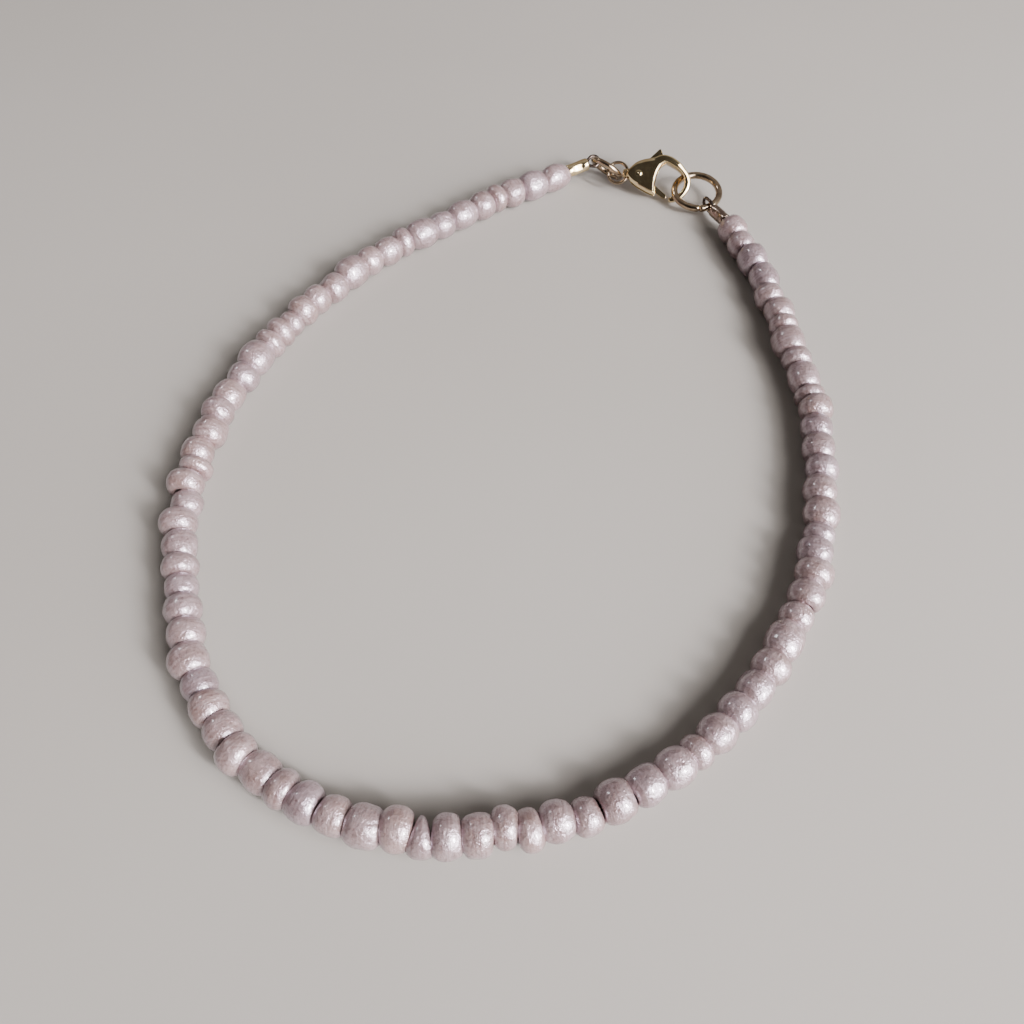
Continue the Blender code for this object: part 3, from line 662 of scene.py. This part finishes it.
def add_beads(start, end, look):
    """All the beads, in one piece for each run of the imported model."""
    points = [start] + [Vector((x * MM, y * MM, 0.0)) for x, y in BEAD_ROUTE] + [end]
    curve = smooth_path(points, ROUTE_STEPS)
    letters = "".join(forms for forms, _ in BEAD_RUNS)
    shares = sum(BEAD_FORMS[letter][0] for letter in letters)
    unit = (curve_length(curve) - RUN_GAP * (len(BEAD_RUNS) - 1)) / shares
    position = 0.0
    number = 0
    for run, (forms, marks) in enumerate(BEAD_RUNS, start=1):
        bm = bmesh.new()
        layers = [bm.verts.layers.float.new(f"bead_{kind}") for kind in ("tone", "light", "along")]
        for letter, mark in zip(forms, marks):
            number += 1
            length_share, diameter_share = BEAD_FORMS[letter]
            setback = {"i": -1.0, ".": 0.0, "o": 1.0}[mark] * BEAD_SETBACK * BEAD_DIAMETER
            add_bead(bm, layers, number, curve, position - RUN_GAP / 2.0, length_share * unit + RUN_GAP,
                     diameter_share * BEAD_DIAMETER, setback)
            position += length_share * unit
        position += RUN_GAP
        name = f"beads_{run}"
        new_object(name, to_mesh(name, bm), look, nodes=(f"bead_run_{run}",))
    return curve


def add_string(curve, left, right, look):
    """The wire that the beads are threaded on, seen only in the gaps between them."""
    total = curve_length(curve)
    path = [left[0], left[1]]
    for step in range(STRING_STEPS + 1):
        point, _ = walk(curve, STRING_INSET + (total - 2.0 * STRING_INSET) * step / STRING_STEPS)
        path.append(Vector((point.x, point.y, STRING_HEIGHT)))
    path += [right[1], right[0]]
    bm = tube_bm(path, [STRING_RADIUS] * len(path), STRING_SIDES)
    new_object("bead_string", to_mesh("bead_string", bm), look)


# Rings, wire loops and crimps

def cut_ring(name, place, diameter, wire, cut_angle, look, node, lift=0.0, turns=1.0, gap=0.03 * MM):
    """A ring bent from round wire, with its cut showing; turns above 1 overlap like a spring."""
    middle = (diameter - wire) / 2.0
    steps = int(RING_STEPS * turns)
    span = 2.0 * math.pi * turns - gap / middle
    path = []
    for step in range(steps + 1):
        share = step / steps
        angle = cut_angle + 0.5 * gap / middle + span * share
        path.append(Vector((middle * math.cos(angle), middle * math.sin(angle), lift * (share - 0.5))))
    radii = [wire / 2.0] * len(path)
    radii[0] = radii[-1] = wire / 2.0 - RING_CUT_EDGE * wire
    bm = tube_bm(path, radii, RING_SIDES)
    return new_object(name, to_mesh(name, bm, place), look, nodes=(node,))


def loop_points(eye, crimp_way, plane_way, half_height, reach, mouth):
    """A wire's path out of a crimp, round an eye and back in."""
    leg = LEG_SPACING / 2.0
    straight = LOOP_STRAIGHT * half_height
    side = [(mouth + depth * CRIMP_LENGTH, leg) for depth in LOOP_DEPTHS]
    side += [(mouth, leg), (mouth - LOOP_FLARE[0] * (mouth - straight), LOOP_FLARE[1] * half_height),
             (straight, half_height)]
    bend = []
    for step in range(LOOP_BEND_STEPS + 1):
        angle = math.pi / 2.0 + math.pi * step / LOOP_BEND_STEPS
        bend.append((half_height - reach + half_height * math.cos(angle), half_height * math.sin(angle)))
    back = [(along, -up) for along, up in reversed(side)]
    return [eye + along * crimp_way + up * plane_way for along, up in side + bend + back]


def add_crimp_end(label, eye, ring_way, ring_wire, crimp_way, reach, wire_look, crimp_look):
    """A wire loop and its crimp.

    Returns a point inside the crimp, one at its far end and one where the beads start.
    """
    plane_way = ring_way.cross(crimp_way).normalized()
    half_height = ring_wire / 2.0 + WIRE_DIAMETER / 2.0 + LINK_GAP
    mouth = half_height + LOOP_MOUTH_GAP
    points = loop_points(eye, crimp_way, plane_way, half_height, max(reach, half_height), mouth)
    path = smooth_path(points, 6)
    bm = tube_bm(path, [RING_FULLNESS * WIRE_DIAMETER / 2.0] * len(path), LOOP_SIDES)
    name = f"loop_{label}"
    new_object(name, to_mesh(name, bm), wire_look, nodes=(f"wire_loop_{label}",))

    near = eye + mouth * crimp_way
    up = crimp_way.cross(plane_way)
    sections = []
    walls = [(step / CRIMP_STEPS, CRIMP_DIAMETER / 2.0) for step in range(CRIMP_STEPS + 1)]
    walls += [(1.0 - step / CRIMP_BORE_STEPS, CRIMP_BORE / 2.0) for step in range(CRIMP_BORE_STEPS + 1)]
    for share, wall in walls:
        outer = wall > CRIMP_BORE / 2.0
        section = []
        for index in range(CRIMP_SIDES):
            angle = 2.0 * math.pi * index / CRIMP_SIDES
            radius = wall
            if outer:
                edge = min(share, 1.0 - share)
                radius -= CRIMP_EDGE * max(0.0, 1.0 - edge / CRIMP_EDGE_SHARE) ** 2
                press = math.exp(-((share - 0.50) / CRIMP_PRESS_SPAN) ** 4)
                for press_angle, depth in CRIMP_PRESSES:
                    radius -= press * depth * max(0.0, math.cos(angle - press_angle)) ** CRIMP_PRESS_POWER
                wave = math.sin(3.0 * angle + 9.0 * share)
                radius += CRIMP_WAVE * (wave * (1.0 - press) - 1.0)
            section.append(near + share * CRIMP_LENGTH * crimp_way
                           + radius * (math.cos(angle) * plane_way + math.sin(angle) * up))
        sections.append(section)
    name = f"crimp_tube_{label}"
    new_object(name, to_mesh(name, skin_bm(sections, closed=True)), crimp_look, nodes=(f"crimp_{label}",))
    far = near + CRIMP_LENGTH * crimp_way
    inside = far - STRING_END_INSET * CRIMP_LENGTH * crimp_way
    return inside, far, far + CRIMP_GAP * crimp_way


# Claw clasp

def combine(target, other, operation):
    """Cuts a mesh object by another one, or joins it, and applies the result."""
    step = target.modifiers.new(operation.title(), "BOOLEAN")
    step.operation = operation
    step.object = other
    step.solver = "EXACT"
    step.use_self = True
    bake_modifiers(target)
    bpy.data.objects.remove(other)


def bake_modifiers(target):
    """Applies an object's modifiers to its mesh."""
    bpy.context.view_layer.update()
    evaluated = target.evaluated_get(bpy.context.evaluated_depsgraph_get())
    result = bpy.data.meshes.new_from_object(evaluated)
    target.modifiers.clear()
    target.data = result


def loose(name, bm, place=None):
    """A working object that is not a piece yet."""
    made = bpy.data.objects.new(name, to_mesh(name, bm, place))
    bpy.context.collection.objects.link(made)
    return made


def inset_outline(outline, inset):
    """The body's outline moved in by a distance along its own normals, and less at its thin tail."""
    moved = []
    count = len(outline)
    for index, point in enumerate(outline):
        along = (outline[(index + 1) % count] - outline[index - 1]).normalized()
        room = BODY_TAIL_EDGE + (1.0 - BODY_TAIL_EDGE) * min(1.0, max(0.0, point.x / TAIL_LENGTH + 1.0))
        moved.append(point + room * inset * Vector((-along.y, along.x, 0.0)))
    return moved


def plate_bm(outline, thickness, edge, depth):
    """A flat plate with rounded rims; its outline runs counterclockwise."""
    half = thickness / 2.0
    steps = [(inset * edge, fall * depth) for inset, fall in BODY_EDGE_STEPS]
    sections = []
    for inset, fall in steps:
        sections.append([point - Vector((0, 0, half - fall)) for point in inset_outline(outline, inset)])
    for inset, fall in reversed(steps):
        sections.append([point + Vector((0, 0, half - fall)) for point in inset_outline(outline, inset)])
    return skin_bm(sections)


def hook_point(angle, height=0.0):
    """A point on the hook's centre line, in the claw's plane or above it."""
    middle = Vector((HOOK_REACH, -HOOK_DROP, height))
    return middle + HOOK_RADIUS * Vector((math.cos(angle), math.sin(angle), 0.0))


def blend(share, span, first, last):
    """Moves softly from one value to another over a span of the hook."""
    fade = min(1.0, max(0.0, (share - span[0]) / (span[1] - span[0])))
    fade = fade * fade * (3.0 - 2.0 * fade)
    return first * (1.0 - fade) + last * fade


def hook_bm():
    """The hook: as thick and square as the body at its root, rounder and thinner to its tip."""
    root = [Vector((along * HOOK_REACH, across * HALF_WIDTH, 0.0)) for along, across in HOOK_ROOT]
    bend = []
    middle = Vector((HOOK_REACH, -HOOK_DROP, 0.0))
    for step in range(HOOK_STEPS + 1):
        angle = HOOK_START_ANGLE + (HOOK_TIP_ANGLE - HOOK_START_ANGLE) * step / HOOK_STEPS
        flat = HOOK_FLAT * math.exp(-((angle - HOOK_FLAT_WAY) / HOOK_FLAT_SPREAD) ** 2)
        bend.append(middle + (1.0 - flat) * (hook_point(angle) - middle))
    path = smooth_path(root + bend, 6)
    total = len(path) - 1
    sections = []
    for index, point in enumerate(path):
        share = index / total
        tangent = (path[min(index + 1, total)] - path[max(index - 1, 0)]).normalized()
        side = Vector((-tangent.y, tangent.x, 0.0))
        slim = max(0.0, (share - HOOK_SLIM_START) / (1.0 - HOOK_SLIM_START))
        thin = HOOK_THICKNESS + (HOOK_TIP_THICKNESS - HOOK_THICKNESS) * slim
        front = blend(share, HOOK_FRONT_BLEND, HOOK_FRONT_SHARE * CLAW_THICKNESS, thin)
        back = blend(share, HOOK_BACK_BLEND, HOOK_BACK_SHARE * CLAW_THICKNESS, thin)
        wide = blend(share, HOOK_EDGE_BLEND, HOOK_ROOT_WIDTH, HOOK_BEND_WIDTH) - HOOK_TIP_NARROWS * slim
        wide *= HOOK_WIDTH
        power = blend(share, HOOK_EDGE_BLEND, HOOK_SQUARE_POWER, HOOK_ROUND_POWER)
        section = []
        for corner in range(HOOK_SIDES):
            angle = 2.0 * math.pi * corner / HOOK_SIDES
            c, s = math.cos(angle), math.sin(angle)
            high = 0.5 * (front if s > 0.0 else back) * math.copysign(abs(s) ** power, s)
            section.append(point + 0.5 * wide * math.copysign(abs(c) ** power, c) * side
                           + Vector((0.0, 0.0, high)))
        sections.append(section)
    last = sections[-1]
    middle = sum(last, Vector()) / len(last)
    way = (path[-1] - path[-2]).normalized()
    for grow, share in HOOK_TIP_DOME:
        sections.append([middle + share * (spot - middle) + grow * way for spot in last])
    return skin_bm(sections)


def rounded(points, steps=5):
    """A smooth closed outline through the given points."""
    return smooth_path(points, steps, closed=True)


def corner_outline(points, radius, steps=3):
    """A closed outline whose corners are rounded off."""
    outline = []
    count = len(points)
    for index, point in enumerate(points):
        before, after = points[index - 1], points[(index + 1) % count]
        back, ahead = before - point, after - point
        cut = min(radius, 0.45 * back.length, 0.45 * ahead.length)
        first, last = point + cut * back.normalized(), point + cut * ahead.normalized()
        for step in range(steps + 1):
            t = step / steps
            outline.append((1 - t) ** 2 * first + 2 * t * (1 - t) * point + t * t * last)
    return outline


def arm_point(angle, length, width, share):
    """A point of an arm that leaves the pivot at an angle, from its share of length and width."""
    way = turned(angle, 1.0)
    side = Vector((-way.y, way.x, 0.0))
    return share[0] * length * way + share[1] * width * side


def slot_points():
    """The slot's outline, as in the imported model."""
    far = SLOT_FAR * HALF_WIDTH
    hub = HUB_RADIUS + SLOT_MARGIN
    end = SLOT_GATE_END * HOOK_REACH
    root = arm_point(TAB_ANGLE, TAB_REACH, TAB_WIDTH, TAB_WAIST).x + SLOT_MARGIN
    back = arm_point(TAB_ANGLE + LEVER_SWING, TAB_REACH, TAB_WIDTH, TAB_BACK)
    swung = back.x - SLOT_BACK_MARGIN
    flat = [(-hub, -hub), (SLOT_GATE_START * HOOK_REACH, -far), (end, -far),
            (end, SLOT_TOP * HALF_WIDTH), (SLOT_ELBOW[0] * HOOK_REACH, SLOT_ELBOW[1] * HALF_WIDTH),
            (root, SLOT_ROOT * HALF_WIDTH), (root, far), (swung, far), (swung, back.y), (-hub, hub)]
    return [Vector((x, y, 0.0)) for x, y in flat]


def prism_bm(points, thickness):
    """A plain plate of an outline."""
    half = Vector((0.0, 0.0, thickness / 2.0))
    return skin_bm([[point - half for point in points], [point + half for point in points]])


def round_over(target, voxel, passes, keep):
    """Rounds every edge of a metal piece a little, as casting and polishing do."""
    remesh = target.modifiers.new("Remesh", "REMESH")
    remesh.mode = "VOXEL"
    remesh.voxel_size = voxel
    smooth = target.modifiers.new("Smooth", "SMOOTH")
    smooth.factor = 0.5
    smooth.iterations = passes
    thin = target.modifiers.new("Decimate", "DECIMATE")
    thin.ratio = keep
    bake_modifiers(target)


def eye_sagitta():
    """How far the claw's ring curves away inside the tail eye."""
    middle = (CLAW_RING_DIAMETER - CLAW_RING_WIRE) / 2.0
    return middle - math.sqrt(middle ** 2 - (TAIL_EYE_WIDTH / 2.0) ** 2)


def bore_bm(radius, length, sides):
    """A cutter for a round hole, which reaches past both faces."""
    ends = []
    for share in (-0.5, 0.5):
        middle = Vector((0.0, 0.0, share * THROUGH * length))
        ends.append(circle(middle, ACROSS, UPWARD, radius, sides))
    return skin_bm(ends)


def add_claw(claw, look):
    """The clasp's body, its rivet and its lever."""
    outline = []
    for along, across in reversed(BODY_OUTLINE):
        scale = TAIL_LENGTH if along < 0.0 else HOOK_REACH
        outline.append(Vector((along * scale, across * HALF_WIDTH, 0.0)))
    body = loose("claw_work", plate_bm(rounded(outline), CLAW_THICKNESS, BODY_EDGE, BODY_EDGE_DEPTH))
    eye_turn = Matrix.Translation((-TAIL_LENGTH, 0.0, 0.0)) @ Matrix.Rotation(math.pi / 2.0, 4, "X")
    knob = []
    for high, share in EYE_PROFILE:
        middle = Vector((0.0, 0.0, high * TAIL_EYE_WIDTH))
        knob.append(circle(middle, ACROSS, UPWARD, share * TAIL_EYE_RADIUS, CLAW_ROUND_SIDES))
    combine(body, loose("eye", skin_bm(knob), eye_turn), "UNION")
    combine(body, loose("hook", hook_bm()), "UNION")
    combine(body, loose("slot", prism_bm(slot_points(), SLOT_WIDTH)), "DIFFERENCE")
    bore_radius = CLAW_RING_WIRE / 2.0 + eye_sagitta() / 2.0 + EYE_CLEARANCE
    combine(body, loose("bore", bore_bm(bore_radius, TAIL_EYE_WIDTH, EYE_BORE_SIDES), eye_turn), "DIFFERENCE")
    hole = bore_bm(PIN_DIAMETER / 2.0 - RIVET_HOLE_LESS, CLAW_THICKNESS, CLAW_ROUND_SIDES)
    combine(body, loose("hole", hole), "DIFFERENCE")
    round_over(body, *BODY_SOFTENING)
    mesh = body.data
    mesh.transform(claw)
    bpy.data.objects.remove(body)
    new_object("claw_shell", mesh, look, nodes=("claw_body",))

    half = CLAW_THICKNESS / 2.0 + RIVET_PROUD
    radius = PIN_DIAMETER / 2.0 + RIVET_LAP
    levels = [(-high, share) for high, share in RIVET_HEAD] + list(reversed(RIVET_HEAD))
    rings = []
    for high, share in levels:
        middle = Vector((0.0, 0.0, high * half))
        rings.append(circle(middle, ACROSS, UPWARD, share * radius, CLAW_ROUND_SIDES))
    new_object("rivet", to_mesh("rivet", skin_bm(rings), claw), look, nodes=("claw_pin",))

    gate = [arm_point(GATE_ANGLE, GATE_LENGTH, GATE_WIDTH, share) for share in GATE_OUTLINE]
    tab = [arm_point(TAB_ANGLE, TAB_REACH, TAB_WIDTH, share) for share in TAB_OUTLINE]
    hub = [turned(HUB_START + (HUB_END - HUB_START) * step / 4, HUB_RADIUS) for step in range(5)]
    shape = corner_outline(gate + tab + hub, LEVER_CORNER)
    lever = loose("lever_work", prism_bm(shape, LEVER_THICKNESS))
    hole = bore_bm(PIN_DIAMETER / 2.0 + PIN_GAP, LEVER_THICKNESS, CLAW_ROUND_SIDES)
    combine(lever, loose("lever_hole", hole), "DIFFERENCE")
    round_over(lever, *LEVER_SOFTENING)
    mesh = lever.data
    mesh.transform(claw)
    bpy.data.objects.remove(lever)
    new_object("thumb_lever", mesh, look, body=LEVER, nodes=("claw_lever",))


def add_left_links(claw, ring_look, wire_look, crimp_look):
    """The claw's ring, the small ring, and the left wire loop and crimp."""
    claw_middle = (CLAW_RING_DIAMETER - CLAW_RING_WIRE) / 2.0
    along = -TAIL_LENGTH - claw_middle + eye_sagitta() / 2.0
    cut_ring("claw_split_ring", claw @ Matrix.Translation((along, 0.0, 0.0)), CLAW_RING_DIAMETER,
             SPLIT_RING_WIRE * CLAW_RING_WIRE, math.radians(40.0), ring_look, "claw_ring",
             lift=SPLIT_RING_RISE * CLAW_RING_WIRE, turns=SPLIT_RING_TURNS, gap=0.0)
    small_middle = (SMALL_RING_DIAMETER - SMALL_RING_WIRE) / 2.0
    way = heading(SMALL_RING_YAW, -SMALL_RING_DROP)
    level = heading(SMALL_RING_YAW - math.pi / 2.0)
    ring_side = Matrix.Rotation(SMALL_RING_ROLL, 3, way) @ level
    center = claw @ Vector((along - SMALL_RING_GAP, 0.0, 0.0)) + small_middle * way
    cut_ring("small_link", placed(center, way, ring_side), SMALL_RING_DIAMETER,
             RING_FULLNESS * SMALL_RING_WIRE, math.radians(118.0), ring_look, "small_ring", lift=0.03 * MM)
    outward = math.cos(SMALL_RING_TWIST) * way + math.sin(SMALL_RING_TWIST) * ring_side
    ring_way = math.cos(SMALL_RING_TWIST) * ring_side - math.sin(SMALL_RING_TWIST) * way
    return add_crimp_end("left", center + small_middle * outward, ring_way, SMALL_RING_WIRE,
                         heading(LEFT_CRIMP_YAW, LEFT_CRIMP_RISE), 0.0, wire_look, crimp_look)


def add_right_links(claw, ring_look, wire_look, crimp_look):
    """The jump ring, and the right wire loop and crimp."""
    under = HOOK_THICKNESS / 2.0 + JUMP_RING_WIRE / 2.0 + RING_CLEARANCE
    over = HOOK_TIP_THICKNESS / 2.0 + JUMP_RING_WIRE / 2.0 + RING_CLEARANCE
    far = claw @ hook_point(RING_UNDER_ANGLE, -under)
    near = claw @ hook_point(RING_OVER_ANGLE, over)
    middle = (JUMP_RING_DIAMETER - JUMP_RING_WIRE) / 2.0
    chord = far - near
    place = placed((far + near) / 2.0, chord, -(claw.to_3x3() @ Vector((1.0, 0.0, 0.0))))
    place = place @ Matrix.Translation((0.0, -math.sqrt(middle ** 2 - (chord.length / 2.0) ** 2), 0.0))
    cut_ring("jump_link", place, JUMP_RING_DIAMETER, RING_FULLNESS * JUMP_RING_WIRE, math.radians(205.0),
             ring_look, "jump_ring", lift=0.05 * MM)
    outward = Vector((math.sin(JUMP_RING_TWIST), -math.cos(JUMP_RING_TWIST), 0.0))
    ring_way = place.to_3x3() @ Vector((outward.y, -outward.x, 0.0))
    return add_crimp_end("right", place @ (middle * outward), ring_way, JUMP_RING_WIRE,
                         heading(RIGHT_CRIMP_YAW, RIGHT_CRIMP_RISE), RIGHT_LOOP_REACH,
                         wire_look, crimp_look)


# Stage

def add_camera():
    """The camera at the photograph's angle."""
    data = bpy.data.cameras.new("camera")
    data.lens = CAMERA_LENS
    data.sensor_width = 36.0
    data.clip_start = 0.002
    data.clip_end = 10.0
    made = bpy.data.objects.new("camera", data)
    made.location = CAMERA_PLACE
    made.rotation_euler = (CAMERA_PITCH, 0.0, 0.0)
    bpy.context.collection.objects.link(made)
    bpy.context.scene.camera = made


def add_area(name, place, width, height, watts, color):
    """A soft rectangular light that faces the bracelet."""
    data = bpy.data.lights.new(name, "AREA")
    data.shape = "RECTANGLE"
    data.size = width
    data.size_y = height
    data.energy = watts
    data.color = color
    made = bpy.data.objects.new(name, data)
    made.location = place
    made.rotation_euler = (-Vector(place)).to_track_quat("-Z", "Y").to_euler()
    bpy.context.collection.objects.link(made)


def add_stage():
    """The floor, the lights and the soft sky."""
    bm = bmesh.new()
    bmesh.ops.create_grid(bm, x_segments=1, y_segments=1, size=FLOOR_SIZE)
    mesh = bpy.data.meshes.new("floor")
    bm.to_mesh(mesh)
    bm.free()
    mesh.materials.append(floor_material())
    floor = bpy.data.objects.new("floor", mesh)
    bpy.context.collection.objects.link(floor)

    for light in LIGHTS:
        add_area(*light)

    world = bpy.data.worlds.new("sky")
    world.use_nodes = True
    bpy.context.scene.world = world
    tree = world.node_tree
    back = tree.nodes["Background"]
    coords = tree.nodes.new("ShaderNodeTexCoord")
    parts = []
    for way, start, end, stops in SKY_PARTS:
        facing = tree.nodes.new("ShaderNodeVectorMath")
        facing.operation = "DOT_PRODUCT"
        facing.inputs[1].default_value = Vector(way).normalized()
        tree.links.new(coords.outputs["Generated"], facing.inputs[0])
        share = range_node(tree, facing.outputs["Value"], 0.0, 1.0, start, end)
        parts.append(ramp_node(tree, share, stops))
    tree.links.new(mix_color(tree, "MULTIPLY", 1.0, *parts), back.inputs["Color"])
    back.inputs["Strength"].default_value = SKY_STRENGTH


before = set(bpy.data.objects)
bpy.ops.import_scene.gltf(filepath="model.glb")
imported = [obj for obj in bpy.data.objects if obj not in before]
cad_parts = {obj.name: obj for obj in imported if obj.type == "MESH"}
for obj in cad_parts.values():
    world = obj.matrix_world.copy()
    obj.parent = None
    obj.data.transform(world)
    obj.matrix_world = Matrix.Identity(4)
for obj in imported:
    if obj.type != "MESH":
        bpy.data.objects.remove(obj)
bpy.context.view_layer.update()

add_camera()
glass = glass_material()
gold = metal_material("gold_metal", (0.88, 0.73, 0.44), (0.76, 0.58, 0.32), 0.12)
ring_gold = metal_material("ring_metal", (0.50, 0.385, 0.265), (0.22, 0.16, 0.11), 0.14)
# painted shade: a darker copy of the crimp gold, standing in for the shade and dark reflections on the right
# crimp
shaded_crimp_metal = metal_material("shaded_crimp_metal", (0.34, 0.26, 0.21), (0.20, 0.145, 0.115), 0.20)
wire = metal_material("wire_metal", (0.13, 0.10, 0.085), (0.08, 0.06, 0.05), 0.24)

claw_place = Matrix.Translation(PIVOT) @ Euler((CLAW_TILT, 0.0, CLAW_YAW)).to_matrix().to_4x4()
add_claw(claw_place, gold)
left = add_left_links(claw_place, ring_gold, wire, gold)
# the right crimp takes the darker copy of the gold as painted shade; the left crimp keeps the plain gold
right = add_right_links(claw_place, ring_gold, wire, shaded_crimp_metal)
bead_curve = add_beads(Vector((left[2].x, left[2].y, 0.0)), Vector((right[2].x, right[2].y, 0.0)), glass)
add_string(bead_curve, left, right, wire)
add_stage()
